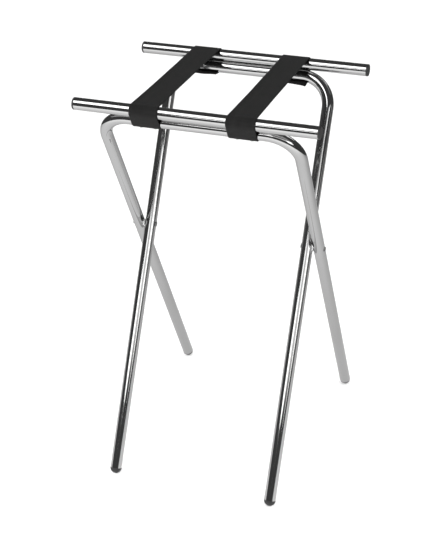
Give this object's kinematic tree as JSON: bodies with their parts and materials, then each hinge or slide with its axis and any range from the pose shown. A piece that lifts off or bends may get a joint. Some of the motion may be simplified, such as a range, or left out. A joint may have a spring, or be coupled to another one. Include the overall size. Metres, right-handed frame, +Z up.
{
  "type": "folding luggage stand",
  "caption": "Tall folding stand: bent-tube leg frames crossed on a pivot, with straight top bars joined by webbing straps that carry a tray or a case.",
  "frame": {"origin": "on the floor, below the middle of the open stand", "axes": "+X along the top bars, to the right as seen from the front; +Y to the rear; +Z up"},
  "size_m": [0.481, 0.5026, 0.8006],
  "materials": {
    "chrome_tube": "polished",
    "webbing": "flat woven",
    "cap_plastic": "satin moulded",
    "foot_plastic": "satin moulded",
    "pivot_steel": "plated",
    "washer_steel": "plated",
    "strap_rivet_steel": "plated"
  },
  "bodies": {
    "outer_frame": {"outer_leg_frame": "chrome_tube", "front_top_bar": "chrome_tube", "front_bar_welds": "chrome_tube", "front_bar_cap_left": "cap_plastic", "front_bar_cap_right": "cap_plastic", "rear_foot_left": "foot_plastic", "rear_foot_right": "foot_plastic", "left_strap_front_wrap": "webbing", "right_strap_front_wrap": "webbing", "left_strap_span": "webbing", "right_strap_span": "webbing", "left_strap_front_rivets": "strap_rivet_steel", "right_strap_front_rivets": "strap_rivet_steel"},
    "inner_frame": {"inner_leg_frame": "chrome_tube", "rear_top_bar": "chrome_tube", "rear_bar_welds": "chrome_tube", "rear_bar_cap_left": "cap_plastic", "rear_bar_cap_right": "cap_plastic", "front_foot_left": "foot_plastic", "front_foot_right": "foot_plastic", "pivot_rivet_left": "pivot_steel", "pivot_rivet_right": "pivot_steel", "pivot_washer_left": "washer_steel", "pivot_washer_right": "washer_steel", "left_strap_rear_wrap": "webbing", "right_strap_rear_wrap": "webbing", "left_strap_rear_rivets": "strap_rivet_steel", "right_strap_rear_rivets": "strap_rivet_steel"}
  },
  "joints": [
    {"name": "fold", "type": "hinge", "parent": "outer_frame", "child": "inner_frame", "pos_m": [0, 0, 0.46719], "axis": [1, 0, 0], "range_deg": [0, 50.5], "deforming": ["left_strap_span", "right_strap_span"]}
  ]
}
